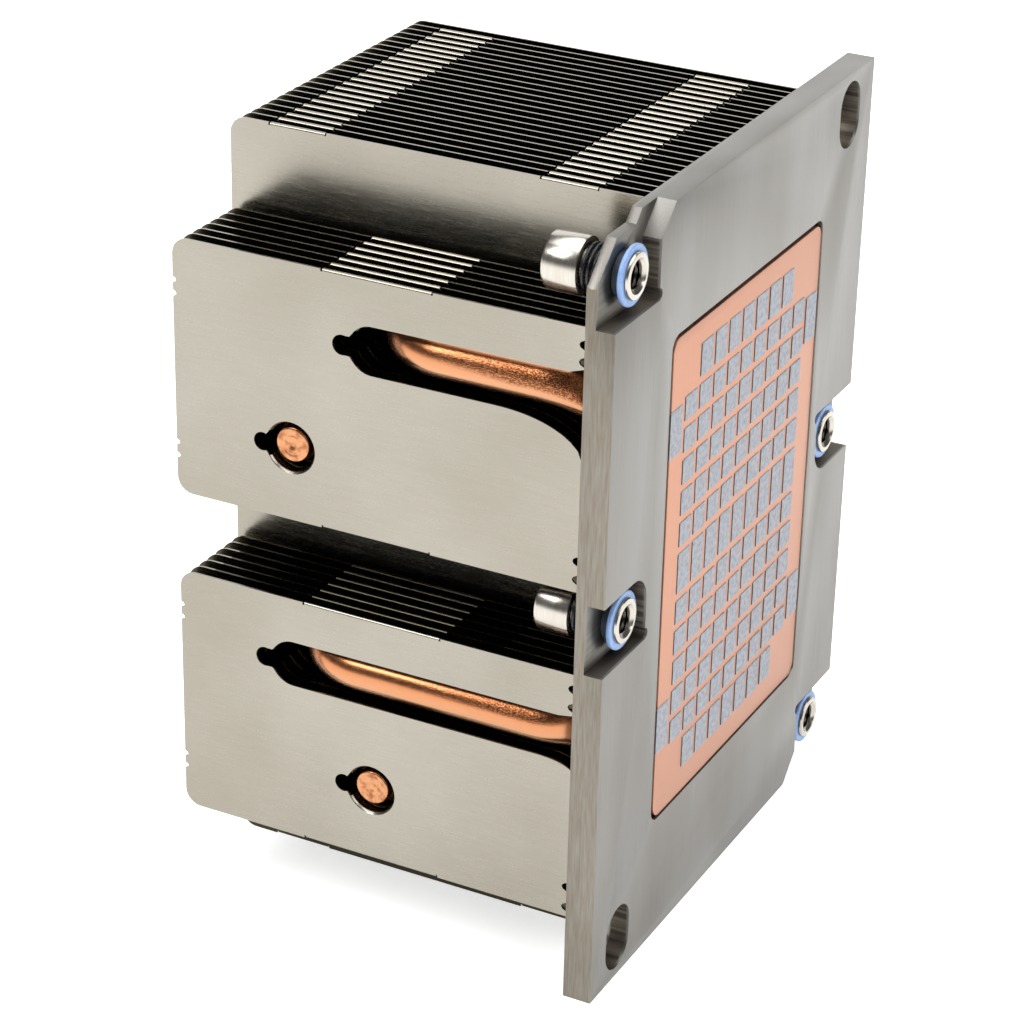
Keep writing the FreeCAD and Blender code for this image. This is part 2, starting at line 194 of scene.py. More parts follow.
def closeTree(tree, geometry, given):
    whole = addNode(tree, "GeometryNodeRealizeInstances", links={0: geometry})
    dressed = addNode(tree, "GeometryNodeSetMaterial", {},
                      {"Geometry": whole.outputs[0], "Material": given["Finish"]})
    addNode(tree, "NodeGroupOutput", {}, {0: dressed.outputs[0]})


def grown(tree, values, start=None):
    # runs a tree with these inputs and returns the result as a plain mesh
    maker = bpy.data.objects.new("maker", start or bpy.data.meshes.new("maker"))
    bpy.context.scene.collection.objects.link(maker)
    modifier = maker.modifiers.new("grow", "NODES")
    modifier.node_group = tree
    for item in tree.interface.items_tree:
        if item.in_out == "INPUT" and item.name in values:
            modifier[item.identifier] = values[item.name]
    graph = bpy.context.evaluated_depsgraph_get()
    mesh = bpy.data.meshes.new_from_object(maker.evaluated_get(graph))
    bpy.data.objects.remove(maker)
    return mesh


# in mm, where each share of the painted shade in the pockets begins and ends: near the plate's sides, behind
# its face, at the two corners by the nuts, at its upper edge, on the pockets' floors and at its lower edge;
# and its sawn sides
plateShadeAndSawnZones = {
    "side": (40.0, 40.3), "face": (-0.45, -0.2), "corner": (-50.3, -49.7), "top": (107.6, 107.9),
    "floor": (-2.75, -2.62), "foot": (0.1, 0.4), "sawn": (40.35, 40.45),
}


def paintedPocketShade(tree, bearing, ends):
    # 1 where shade is painted: on the walls of pockets and slots cut into the plate's face, about half on the
    #                           pockets' floors
    spot, away, facing, tilt = bearing
    half = addNode(tree, "ShaderNodeMath", {"operation": "SIGN"}, {0: spot[1]}).outputs[0]
    rise = addNode(tree, "ShaderNodeMath", {"operation": "SUBTRACT", 1: plate["middle"] * mm}, {0: spot[2]})
    leaning = eased(tree, half, rise.outputs[0])
    return eased(tree, (away[1], 1.0, 0.0, *ends["side"]), (spot[0], 1.0, 0.0, *ends["face"]),
                 (leaning, 0.0, 1.0, *ends["corner"]), (spot[2], 1.0, 0.0, *ends["top"]),
                 (spot[0], 0.0, 1.0, *ends["floor"]), (spot[2], 0.0, 1.0, *ends["foot"]),
                 (facing[0], 1.0, 0.35, 0.6, 0.9))


def milledAluminium():
    # aluminium plate, flycut and brushed lengthwise: fine upright lines, soft wide highlights; painted shade
    # in streaks darkens the pockets' walls and, less, their floors, and the sawn sides are a little warmer
    material, tree, shader, place = newFinish("aluminiumPlateBrushed", "#8f8d89", 1.0, 0.38)
    bearing, ends = bearings(tree, place), inMetres(plateShadeAndSawnZones)
    lines = grain(tree, place, 0.2, (1, 1, 60), 4)
    clouds = grain(tree, place, 16, (1, 1, 3), 2)
    mixed = addNode(tree, "ShaderNodeMix", {"data_type": "RGBA", "blend_type": "MULTIPLY", 0: 1.0},
                    {6: tinted(tree, lines, "#898783", "#969490"),
                     7: tinted(tree, clouds, "#e3e1dd", "#ffffff")})
    # streaks of painted shade for the pockets' walls, all darker than the plate
    marks = tinted(tree, grain(tree, place, 0.6, (40, 40, 1), 2), "#9a9186", "#e6ddd0", 0.4, 0.6)
    cut = paintedPocketShade(tree, bearing, ends)
    # painted shade: where the pocket mask is 1 the plate's colour is multiplied by the streaks
    walls = addNode(tree, "ShaderNodeMix", {"data_type": "RGBA", "blend_type": "MULTIPLY"},
                    {0: cut, 6: mixed.outputs[2], 7: marks})
    scratches = tinted(tree, grain(tree, place, 0.3, (1, 1, 14), 4), "#e9decf", "#fffcf4", 0.35, 0.65)
    sawn = addNode(tree, "ShaderNodeMix", {"data_type": "RGBA", "blend_type": "MULTIPLY"},
                   {0: eased(tree, (bearing[1][1], 0.0, 1.0, *ends["sawn"])), 6: walls.outputs[2],
                    7: scratches})
    rough = addNode(tree, "ShaderNodeMath", {"operation": "MULTIPLY_ADD", 1: 0.22},
                    {0: cut, 2: eased(tree, (lines, 0.30, 0.44))})
    surfaced(tree, shader, sawn.outputs[2], rough.outputs[0], lines, 0.012, 0.6)
    return material


# in mm, where the painted shade begins and ends: the stack's outer sides, the rims of holes and slots just
# inside them, the skin of the central fins' outer side, the shade under the lower packs, and the part of a
# fin that has holes and slots
stackShadeZones = {
    "outer": (38.44, 38.52), "rim": (38.28, 38.34), "skin": (0.14, 0.18), "under": (4.0, 10.0),
    "root": (-16.0, -15.8), "low": (14.0, 14.2), "high": (93.8, 94.0), "tip": (-60.0, -59.8),
}
centralSide = 24.09


def stackPaintedShade(tree, place):
    # where shade is painted: 1 on the faces that look at another fin, low down under the packs and on the
    # edges of holes and slots, 0 on the stack's outside
    spot, away, facing, tilt = bearings(tree, place)
    ends = inMetres(stackShadeZones)
    depth = addNode(tree, "ShaderNodeMath", {"operation": "SUBTRACT", 1: centralSide * mm}, {0: away[1]})
    depth = addNode(tree, "ShaderNodeMath", {"operation": "ABSOLUTE"}, {0: depth.outputs[0]}).outputs[0]
    rim = eased(tree, (away[1], 1.0, 0.0, *ends["rim"]), (spot[0], 1.0, 0.0, *ends["root"]),
                (spot[2], 0.0, 1.0, *ends["low"]), (spot[2], 1.0, 0.0, *ends["high"]),
                (spot[0], 0.0, 1.0, *ends["tip"]))
    inward = addNode(tree, "ShaderNodeMath", {"operation": "MAXIMUM"},
                     {0: eased(tree, (tilt[1], 0.0, 1.0, 0.85, 0.95)), 1: rim})
    covered = addNode(tree, "ShaderNodeMath", {"operation": "MAXIMUM"},
                      {0: eased(tree, (depth, 0.0, 1.0, *ends["skin"])),
                       1: eased(tree, (spot[2], 1.0, 0.0, *ends["under"]))})
    return eased(tree, (away[1], 1.0, 0.0, *ends["outer"]), covered.outputs[0], inward.outputs[0])


def rolledSheet():
    # thin aluminium sheet with a nickel flash, rolled: warm grey satin with a faint grain along its length;
    # painted shade darkens it between the fins, under the packs and round the holes and slots
    material, tree, shader, place = newFinish("nickelFlashedSheetRolled", "#a09b90", 1.0, 0.3)
    lines = grain(tree, place, 0.25, (14, 1, 1), 4)
    clouds = grain(tree, place, 22, (1, 1, 1), 2)
    mixed = addNode(tree, "ShaderNodeMix", {"data_type": "RGBA", "blend_type": "MULTIPLY", 0: 1.0},
                    {6: tinted(tree, lines, "#9e998e", "#a39e93"),
                     7: tinted(tree, clouds, "#efeeec", "#ffffff")})
    # painted shade: the colour is multiplied by #7b766b where the stack's shade mask is 1
    finsWithPaintedShade = addNode(tree, "ShaderNodeMix",
                   {"data_type": "RGBA", "blend_type": "MULTIPLY", 7: colour("#7b766b")},
                   {0: stackPaintedShade(tree, place), 6: mixed.outputs[2]})
    surfaced(tree, shader, finsWithPaintedShade.outputs[2], eased(tree, (lines, 0.22, 0.29)), lines, 0.0025, 0.4)
    return material


# in mm, for the band of browning and painted dark reflection: how far above or below the middle the outer
# pipes begin, where their wider band begins and ends, and where every pipe's band does
tarnishAndDarkReflectionZones = {"outer": (20, 24), "wide": (-29, -15), "band": (-33, -15)}


def tarnishAndDarkReflection(tree, bearing):
    # the band along the bends' outer side, on faces turned up and out: partly browning from the soldering,
    # partly a painted dark reflection; stronger towards the plate and wider on the outer pipes
    spot, away, facing, tilt = bearing
    ends = inMetres(tarnishAndDarkReflectionZones)
    outer = addNode(tree, "ShaderNodeMath", {"operation": "SUBTRACT", 1: plate["middle"] * mm}, {0: spot[2]})
    outer = addNode(tree, "ShaderNodeMath", {"operation": "ABSOLUTE"}, {0: outer.outputs[0]}).outputs[0]
    wide = eased(tree, (outer, 0.0, 1.0, *ends["outer"]), (spot[0], 0.0, 0.34, *ends["wide"]))
    turned = addNode(tree, "ShaderNodeMath", {"operation": "SUBTRACT"},
                     {0: eased(tree, facing[1], facing[2]), 1: wide}).outputs[0]
    return eased(tree, (turned, 1.0, 0.0, -0.34, -0.14), (tilt[2], 1.0, 0.0, 0.6, 0.8),
                 (tilt[1], 0.0, 1.0, 0.3, 0.55), (spot[0], 0.0, 1.0, *ends["band"]))


def drawnCopper():
    # copper tube, drawn and bent: orange, paler on its downward faces as a painted reflection, brown along
    # the bends partly from soldering and partly as a painted dark reflection, rough where the ends are cut
    material, tree, shader, place = newFinish("copperTubeDrawn", "#bd7a5a", 1.0, 0.24)
    bearing = bearings(tree, place)
    spots = grain(tree, place, 0.3, (3, 1, 1), 4)
    specks = grain(tree, place, 0.14, (2, 1, 1), 2)
    band = tarnishAndDarkReflection(tree, bearing)
    # painted reflection of the bright floor: faces that look down are mixed to the paler #c89773
    paintedFloorReflection = addNode(tree, "ShaderNodeMix", {"data_type": "RGBA", 7: colour("#c89773")},
                   {0: eased(tree, (bearing[2][2], 1.0, 0.0, -0.5, 0.3)),
                    6: tinted(tree, spots, "#bf7a51", "#c7855c")})
    # specked browning together with a painted dark reflection: the band is mixed to #64381d
    brownedAndDarkened = addNode(tree, "ShaderNodeMix", {"data_type": "RGBA", 7: colour("#64381d")},
                      {0: eased(tree, band, (specks, 0.2, 0.9, 0.4, 0.56)), 6: paintedFloorReflection.outputs[2]})
    scars = tinted(tree, grain(tree, place, 1.1, (1, 1, 1), 4), "#9b6340", "#c88e66", 0.36, 0.54)
    ends = addNode(tree, "ShaderNodeAttribute", {"attribute_name": "cut"}).outputs["Fac"]
    cut = addNode(tree, "ShaderNodeMix", {"data_type": "RGBA"}, {0: ends, 6: brownedAndDarkened.outputs[2], 7: scars})
    surfaced(tree, shader, cut.outputs[2], eased(tree, (spots, 0.21, 0.27)), eased(tree, band, specks), 0.055)
    return material


def milledCopper():
    # copper slug, milled flat: pale salmon, matt, with very fine upright tool lines
    material, tree, shader, place = newFinish("copperBlockMilled", "#c8977f", 1.0, 0.45)
    lines = grain(tree, place, 0.2, (1, 1, 60), 3)
    surfaced(tree, shader, tinted(tree, lines, "#c4937b", "#cc9c85"), eased(tree, (lines, 0.40, 0.52)),
             lines, 0.008, 0.5)
    return material


def printedCompound():
    # thermal compound, screen printed: matt bluish grey with a sandy face; painted shade darkens its sides
    # that face along y
    material, tree, shader, place = newFinish("thermalCompoundPrinted", "#a9aeb8", 0.0, 0.62)
    tilt = bearings(tree, place)[3]
    sand = grain(tree, place, 0.7, (1, 1, 1), 6)
    # painted shade: sides whose faces look along y are mixed to #35281f
    sides = addNode(tree, "ShaderNodeMix", {"data_type": "RGBA", 7: colour("#35281f")},
                    {0: eased(tree, (tilt[1], 0.0, 1.0, 0.4, 0.75)),
                     6: tinted(tree, sand, "#979ba4", "#b0b4bb", 0.36, 0.6)})
    surfaced(tree, shader, sides.outputs[2], None, sand, 0.03, 0.6)
    return material


def platedNut():
    # steel nut, turned and nickel plated: bright, with fine lines round its axis and painted shade in its
    # bore and drive
    material, tree, shader, place = newFinish("steelNutNickelPlated", "#c4beb4", 1.0, 0.2)
    lines = grain(tree, place, 0.15, (1, 30, 30), 3)
    inside = addNode(tree, "ShaderNodeAttribute", {"attribute_name": "bore"}).outputs["Fac"]
    # painted shade: inside the thread and the drive the colour is #4a4640
    boreWithPaintedShade = addNode(tree, "ShaderNodeMix", {"data_type": "RGBA", 7: colour("#4a4640")},
                      {0: inside, 6: tinted(tree, lines, "#beb8ad", "#c9c4bb")})
    surfaced(tree, shader, boreWithPaintedShade.outputs[2], eased(tree, (lines, 0.2, 0.25)), lines, 0.001, 0.4)
    return material


def blackSpring():
    # spring steel, coiled and black oxided: near black with a wet-looking highlight
    material, tree, shader, place = newFinish("springSteelBlackOxide", "#15161a", 0.0, 0.25)
    spots = grain(tree, place, 0.4)
    surfaced(tree, shader, tinted(tree, spots, "#0d0e11", "#1c1e24"), eased(tree, (spots, 0.2, 0.34)))
    return material


# in mm along the ring's axis, where the painted shade under the flange fades out
flangeShadeEnds = (-1.6, -1.4)


def blueNylon():
    # nylon ring, moulded: light blue, smooth, light passes a little way into it; painted shade under the
    # flange
    material, tree, shader, place = newFinish("nylonRingMoulded", "#8fb0e2", 0.0, 0.38)
    shader.inputs["Subsurface Weight"].default_value = 0.15
    shader.inputs["Subsurface Scale"].default_value = 0.001
    spots = grain(tree, place, 0.8)
    depth = addNode(tree, "ShaderNodeSeparateXYZ", {}, {0: place}).outputs[0]
    # painted shade: under the flange the colour is mixed to #39424f
    ringWithPaintedShade = addNode(tree, "ShaderNodeMix", {"data_type": "RGBA", 7: colour("#39424f")},
                    {0: eased(tree, (depth, 1.0, 0.0, *[value * mm for value in flangeShadeEnds])),
                     6: tinted(tree, spots, "#86a8dc", "#98b9ea")})
    surfaced(tree, shader, ringWithPaintedShade.outputs[2], None, spots, 0.01, 0.3)
    return material


finishes = {
    "plate": milledAluminium(),
    "sheet": rolledSheet(),
    "tube": drawnCopper(),
    "slug": milledCopper(),
    "pads": printedCompound(),
    "nut": platedNut(),
    "spring": blackSpring(),
    "ring": blueNylon(),
}
print("finishes made:", len(finishes))


blockFit = {"bevel": 0.12, "gapY": 0.9, "gapZ": 0.7, "touch": 0.04, "raise": 0.16, "raisedFrom": -0.6}
brokenEdge = {"segments": 2, "fromAngle": 35}


def edgesBroken(node, width):
    # the CAD shape, merged, with its edges broken
    shape = bmesh.new()
    shape.from_mesh(nodes[node].data)
    bmesh.ops.remove_doubles(shape, verts=shape.verts, dist=0.002 * mm)
    bmesh.ops.dissolve_limit(shape, angle_limit=math.radians(1), verts=shape.verts, edges=shape.edges)
    least = math.radians(brokenEdge["fromAngle"])
    edges = [e for e in shape.edges if e.is_manifold and e.calc_face_angle(0) > least]
    bmesh.ops.bevel(shape, geom=edges, offset=width * mm, segments=brokenEdge["segments"], profile=0.5,
                    affect="EDGES", clamp_overlap=True)
    mesh = bpy.data.meshes.new(node)
    shape.to_mesh(mesh)
    shape.free()
    return finished(mesh)


def letIn(mesh):
    # the slug is a little smaller than its window and sits in the window's lower right corner
    ys = [v.co.y for v in mesh.vertices]
    zs = [v.co.z for v in mesh.vertices]
    right, bottom = max(ys) - blockFit["touch"] * mm, min(zs) + blockFit["touch"] * mm
    scaleY = 1 - blockFit["gapY"] * mm / (max(ys) - min(ys))
    scaleZ = 1 - blockFit["gapZ"] * mm / (max(zs) - min(zs))
    for corner in mesh.vertices:
        corner.co.y = right + (corner.co.y - max(ys)) * scaleY
        corner.co.z = bottom + (corner.co.z - min(zs)) * scaleZ
        if corner.co.x > blockFit["raisedFrom"] * mm:
            corner.co.x += blockFit["raise"] * mm
    return mesh


placed("basePlate", edgesBroken("base_plate", plate["bevel"]), "plate", "plate", heatsink, "base_plate")
slug = letIn(edgesBroken("contact_block", blockFit["bevel"]))
placed("contactBlock", slug, "slug", "copper_block", heatsink, "contact_block")
print("plate and block made")


padGrid = {
    "columns": 9, "rows": 5, "width": 3.75, "height": 3.64, "across": 0.64, "down": 0.87,
    "middleHeight": 6.1, "endHeight": 5.0, "earWidth": 3.85, "earHeight": 7.1,
    "centre": 1.0, "face": -0.14, "thickness": 0.13, "round": 0.05, "ragged": 0.05, "seed": 7,
}


def padPlaces():
    heights = [padGrid["endHeight"]] + [padGrid["height"]] * padGrid["rows"] + [padGrid["middleHeight"]]
    heights += [padGrid["height"]] * padGrid["rows"] + [padGrid["endHeight"]]
    bottom = plate["middle"] - (sum(heights) + padGrid["down"] * (len(heights) - 1)) / 2
    step = padGrid["width"] + padGrid["across"]
    middle = (padGrid["columns"] - 1) / 2
    places, lows = [], []
    for row, height in enumerate(heights):
        out = 1 if row in (0, len(heights) - 1) else 0
        for column in range(out, padGrid["columns"] - out):
            places.append(((column - middle) * step, bottom + height / 2, padGrid["width"], height))
        lows.append(bottom)
        bottom += height + padGrid["down"]
    ear = middle * step + padGrid["width"] / 2 + padGrid["across"] + padGrid["earWidth"] / 2
    for row in (1, len(heights) - 3):
        z = (lows[row] + lows[row + 1] + padGrid["height"]) / 2
        places += [(side * ear, z, padGrid["earWidth"], padGrid["earHeight"]) for side in (-1, 1)]
    return places


def padPoints():
    places = padPlaces()
    mesh = bpy.data.meshes.new("padPoints")
    mesh.from_pydata([sized((padGrid["face"], padGrid["centre"] + y, z)) for y, z, w, h in places], [], [])
    sizes = mesh.attributes.new("size", "FLOAT_VECTOR", "POINT")
    for item, (y, z, w, h) in zip(sizes.data, places):
        item.vector = (padGrid["thickness"] * mm, w * mm, h * mm)
    return mesh


def joinRows(shape, rows):
    # faces between each closed row of corners and the next
    for near, far in zip(rows, rows[1:]):
        for k in range(len(near)):
            j = (k + 1) % len(near)
            shape.faces.new((near[k], near[j], far[j], far[k]))


def onePad():
    # a unit pad with round corners and a soft upper edge
    shape = bmesh.new()
    rows = []
    for level, inset in ((0, 0.0), (0.75, 0.01), (0.94, 0.025), (1, 0.05)):
        row = []
        for corner, (cy, cz) in enumerate(((1, 1), (-1, 1), (-1, -1), (1, -1))):
            for step in range(4):
                angle = math.radians(90 * corner + 30 * step)
                radius = padGrid["round"]
                y = cy * (0.5 - inset - radius) + radius * math.cos(angle)
                z = cz * (0.5 - inset - radius) + radius * math.sin(angle)
                row.append(shape.verts.new((level, y, z)))
        rows.append(row)
    joinRows(shape, rows)
    shape.faces.new(rows[-1])
    shape.faces.new(rows[0][::-1])
    return finished(meshOf(shape), 60)


def padTree():
    tree, given = newTree("printedPads", {"Points": "Geometry", "Pad": "Object", "Ragged": "Float",
                                          "Seed": "Int", "Finish": "Material"})
    size = addNode(tree, "GeometryNodeInputNamedAttribute", {"data_type": "FLOAT_VECTOR", "Name": "size"})
    least = addNode(tree, "ShaderNodeMath", {"operation": "SUBTRACT", 0: 1.0}, {1: given["Ragged"]})
    vary = addNode(tree, "FunctionNodeRandomValue", {"data_type": "FLOAT_VECTOR", "Max": (1, 1, 1)},
                   {"Min": least.outputs[0], "Seed": given["Seed"]})
    scale = addNode(tree, "ShaderNodeVectorMath", {"operation": "MULTIPLY"},
                    {0: size.outputs[0], 1: vary.outputs[0]})
    pad = addNode(tree, "GeometryNodeObjectInfo", {}, {"Object": given["Pad"]})
    spread = addNode(tree, "GeometryNodeInstanceOnPoints", {},
                     {"Points": given["Points"], "Instance": pad.outputs["Geometry"],
                      "Scale": scale.outputs[0]})
    closeTree(tree, spread.outputs[0], given)
    return tree


padShape = bpy.data.objects.new("padShape", onePad())
padMesh = grown(padTree(), {"Pad": padShape, "Ragged": padGrid["ragged"], "Seed": padGrid["seed"],
                            "Finish": finishes["pads"]}, padPoints())
bpy.data.objects.remove(padShape)
placed("thermalPads", padMesh, "pads", "pads", heatsink, "thermal_pads")
print("pads made:", len(padPlaces()))


fin = {
    "thickness": 0.3, "pitch": 2.08, "first": -38.48, "central": 24, "side": 7, "tip": -64.0,
    "tipRound": 2.3, "tabDepth": 0.15, "footDepth": 1.83, "bend": 0.3, "relief": 0.22, "reliefDeep": 0.06,
    "collarDepth": 1.2, "collarWall": 0.3, "collarOverlap": 0.02, "wobble": 0.0012, "seed": 3,
}
holeRadius = {"central": 3.2, "side": 3.4}
holeLobe = {"radius": 1.3, "neck": 1.0, "reach": 4.2}
slotLobe = {"radius": 1.4, "neck": 1.35, "reach": 4.35}
tipBite = {"depth": 0.5, "half": 0.42, "apart": 0.95}
footBite = {"depth": 1.3, "half": 0.72}
shortestFoot = 0.2
# tabs lie between two distances from the plate's back, bites at heights, holes at x and z
centralForm = {
    "bottom": 0.0, "top": 107.5, "tabs": ((45.8, 54.0), (6.8, 14.6)), "tipBites": (), "footBites": (),
    "holes": ((-34.5, 86.05), (-34.5, 21.95), (-46.45, 70.0), (-46.45, 38.0)), "slot": None,
}
upperForm = {
    "bottom": 59.35, "top": 95.55, "tabs": ((22.1, 37.7),), "tipBites": (88.65, 65.6),
    "footBites": (93.1, 90.8, 63.7, 61.1), "holes": ((-46.55, 69.65),),
    "slot": {"end": -34.5, "low": 82.45, "high": 89.15, "dipStart": -17.2, "dip": 76.3, "bevel": 0.9},
}
lowerForm = {
    "bottom": 11.15, "top": 47.55, "tabs": ((20.4, 40.7),), "tipBites": (41.4, 18.1),
    "footBites": (45.4, 42.7, 15.7, 12.6), "holes": ((-34.5, 21.7),),
    "slot": {"end": -46.45, "low": 34.5, "high": 41.1, "dipStart": -10.0, "dip": 32.6, "bevel": 0.5},
}


def keyhole(radius, lobe, end, steps=44):
    # half heights of a round hole with a small lobe beside it, from the lobe's end to x = end
    start = -lobe["reach"] - lobe["radius"]
    turn = math.pi if end > 0 else math.pi / 2
    rows = []
    for k in range(steps + 1):
        x = start + (end - start) * (1 - math.cos(turn * k / steps)) / (1 - math.cos(turn))
        body = math.sqrt(max(0, radius ** 2 - x ** 2))
        ear = math.sqrt(max(0, lobe["radius"] ** 2 - (x + lobe["reach"]) ** 2))
        if -lobe["reach"] < x < 0:
            ear = max(ear, lobe["neck"])
        rows.append((x, (body ** 4 + ear ** 4) ** 0.25))
    return rows


def holeLoop(x, z, radius):
    # a hole's outline, large enough for its collar's root
    radius += fin["collarWall"] - fin["collarOverlap"]
    rows = keyhole(radius, holeLobe, radius)
    upper = [(x + dx, z + h) for dx, h in rows]
    lower = [(x + dx, z - h) for dx, h in rows[1:-1]]
    return upper + lower[::-1]


def slotLoop(form):
    # the slot's outline from the plate, over its closed end, back to the plate
    half = (form["high"] - form["low"]) / 2
    z = (form["high"] + form["low"]) / 2
    rows = keyhole(half, slotLobe, 0)
    back = plate["back"] - fin["bend"]
    points = [(back, form["high"] + form["bevel"]), (back - 2.6, form["high"] + 0.05)]
    points += [(form["end"] + dx, z + h) for dx, h in rows[::-1]]
    points += [(form["end"] + dx, z - h) for dx, h in rows[1:]]
    span = back - form["dipStart"]
    for k in range(13):
        share = k / 12
        drop = (form["low"] - form["dip"]) * (1 - math.sqrt(max(0, 1 - share ** 2.2)))
        points.append((form["dipStart"] + span * share, form["low"] - drop))
    return points


def notch(x, z, bite, inward, steps=6):
    # a half-round bite in an upright edge, walked downwards
    turns = [math.pi * k / steps for k in range(steps + 1)]
    return [(x + inward * bite["depth"] * math.sin(a), z + bite["half"] * math.cos(a)) for a in turns]


def finOutline(form, tabs):
    # walked round from the plate's upper corner: top edge to the tip, down the tip, back, and up the plate
    bottom, top, slot = form["bottom"], form["top"], form["slot"]
    back = plate["back"] - fin["bend"]
    tip, r, cut, relief = fin["tip"], fin["tipRound"], fin["bend"], fin["relief"]
    deep = cut + fin["reliefDeep"]
    arc = [math.radians(a) for a in (0, 15, 30, 45, 60, 75, 90)]
    spans = sorted(tabs)
    points = [(back, top)]
    for inner, outer in spans:
        near, far = plate["back"] - inner, plate["back"] - outer
        points += [(near + relief, top), (near + relief, top - deep), (near, top - deep),
                   (near, top - cut), (far, top - cut), (far, top - deep),
                   (far - relief, top - deep), (far - relief, top)]
    points += [(tip + r - r * math.sin(a), top - r + r * math.cos(a)) for a in arc]
    for z in form["tipBites"]:
        points += notch(tip, z + tipBite["apart"], tipBite, 1) + notch(tip, z - tipBite["apart"], tipBite, 1)
    points += [(tip + r - r * math.cos(a), bottom + r - r * math.sin(a)) for a in arc]
    for inner, outer in spans[::-1]:
        near, far = plate["back"] - inner, plate["back"] - outer
        points += [(far - relief, bottom), (far - relief, bottom + deep), (far, bottom + deep),
                   (far, bottom + cut), (near, bottom + cut), (near, bottom + deep),
                   (near + relief, bottom + deep), (near + relief, bottom)]
    points.append((back, bottom))
    marks = [(z, False) for z in form["footBites"]] + ([(slot["dip"], True)] if slot else [])
    for z, isSlot in sorted(marks):
        points += slotLoop(slot)[::-1] if isSlot else notch(back, z, footBite, -1)[::-1]
    return points


def addSheet(shape, loops):
    # a flat sheet across y from an outline and its holes, all as (x, z) in mm
    flat = [[Vector((x, z, 0)) for x, z in loop] for loop in loops]
    corners = [p for loop in flat for p in loop]
    half = fin["thickness"] / 2
    near = [shape.verts.new(sized((p.x, -half, p.y))) for p in corners]
    far = [shape.verts.new(sized((p.x, half, p.y))) for p in corners]
    for a, b, c in tessellate_polygon(flat):
        shape.faces.new((near[a], near[b], near[c]))
        shape.faces.new((far[c], far[b], far[a]))
    start = 0
    for loop in flat:
        for k in range(len(loop)):
            a, b = start + k, start + (k + 1) % len(loop)
            shape.faces.new((near[a], near[b], far[b], far[a]))
        start += len(loop)


def addPrism(shape, outline, low, high, axis):
    # a prism along x (axis 0) or z (axis 2) from an outline in the other two axes
    def at(point, along):
        return sized((along, *point) if axis == 0 else (*point, along))
    first = [shape.verts.new(at(p, low)) for p in outline]
    last = [shape.verts.new(at(p, high)) for p in outline]
    for k in range(len(outline)):
        j = (k + 1) % len(outline)
        shape.faces.new((first[k], first[j], last[j], last[k]))
    shape.faces.new(first)
    shape.faces.new(last)


def foldProfile(reach, outward):
    # a fold seen along its length: the sheet comes up at 0 and turns towards +y; outward is +1 or -1
    half = fin["thickness"] / 2
    t = fin["bend"]
    arc = [(-half + t - t * math.cos(math.radians(a)), -t + t * math.sin(math.radians(a)))
           for a in (0, 18, 36, 54, 72, 90)]
    points = arc + [(reach - half, 0.0), (reach - half, -t), (half, -t)]
    return [(y, outward * h) for y, h in points]


def addCollar(shape, x, z, radius):
    # the drawn rim round a pipe hole, open at the lobe
    steps = 26
    half = fin["thickness"] / 2
    outer = radius + fin["collarWall"]
    inner = radius - fin["collarOverlap"]
    rows = []
    for k in range(steps + 1):
        angle = math.radians(-150 + 300 * k / steps)
        rows.append([shape.verts.new(sized((x + r * math.cos(angle), y, z + r * math.sin(angle))))
                     for r, y in ((outer, half - 0.05), (outer, half + fin["collarDepth"]),
                                  (inner, half + fin["collarDepth"]), (inner, 0.4), (inner + 0.1, 0.08),
                                  (outer, -half))])
    joinRows(shape, rows)
    shape.faces.new(rows[0])
    shape.faces.new(rows[-1][::-1])


def finMesh(form, radius, folded=True):
    # one fin with its tabs, its foot along the plate and a collar round each hole
    bottom, top, slot = form["bottom"], form["top"], form["slot"]
    tabs = form["tabs"] if folded else ()
    shape = bmesh.new()
    addSheet(shape, [finOutline(form, tabs)] + [holeLoop(x, z, radius) for x, z in form["holes"]])
    reach = fin["thickness"] + fin["tabDepth"]
    for inner, outer in tabs:
        for edge, outward in ((top, 1), (bottom, -1)):
            profile = [(y, edge + h) for y, h in foldProfile(reach, outward)]
            addPrism(shape, profile, plate["back"] - outer, plate["back"] - inner, 0)
    stops = [bottom]
    for z in sorted(form["footBites"]):
        stops += [z - footBite["half"], z + footBite["half"]]
    stops.append(top)
    profile = [(plate["back"] + h, y) for y, h in foldProfile(fin["footDepth"], 1)]
    for low, high in zip(stops[::2], stops[1::2]):
        parts = [(low, high)]
        if slot:
            gapLow, gapHigh = slot["dip"], slot["high"] + slot["bevel"]
            if low < gapLow < high or low < gapHigh < high:
                parts = [(low, min(high, gapLow)), (max(low, gapHigh), high)]
        for a, b in parts:
            if b - a > shortestFoot:
                addPrism(shape, profile, a, b, 2)
    for x, z in form["holes"]:
        addCollar(shape, x, z, radius)
    return finished(meshOf(shape), 30)


def stackTree():
    tree, given = newTree("finStack", {"Fin": "Object", "Count": "Int", "First": "Vector", "Step": "Vector",
                                       "Wobble": "Float", "Seed": "Int", "Finish": "Material"})
    line = addNode(tree, "GeometryNodeMeshLine", {"mode": "OFFSET"},
                   {"Count": given["Count"], "Start Location": given["First"], "Offset": given["Step"]})
    leaf = addNode(tree, "GeometryNodeObjectInfo", {}, {"Object": given["Fin"]})
    lowest = addNode(tree, "ShaderNodeMath", {"operation": "MULTIPLY", 1: -1.0}, {0: given["Wobble"]})
    lean = addNode(tree, "FunctionNodeRandomValue", {"data_type": "FLOAT"},
                   {"Min": lowest.outputs[0], "Max": given["Wobble"], "Seed": given["Seed"]})
    tilt = addNode(tree, "ShaderNodeCombineXYZ", {}, {"Z": lean.outputs[1]})
    spread = addNode(tree, "GeometryNodeInstanceOnPoints", {},
                     {"Points": line.outputs[0], "Instance": leaf.outputs["Geometry"],
                      "Rotation": tilt.outputs[0]})
    closeTree(tree, spread.outputs[0], given)
    return tree


finStack = stackTree()


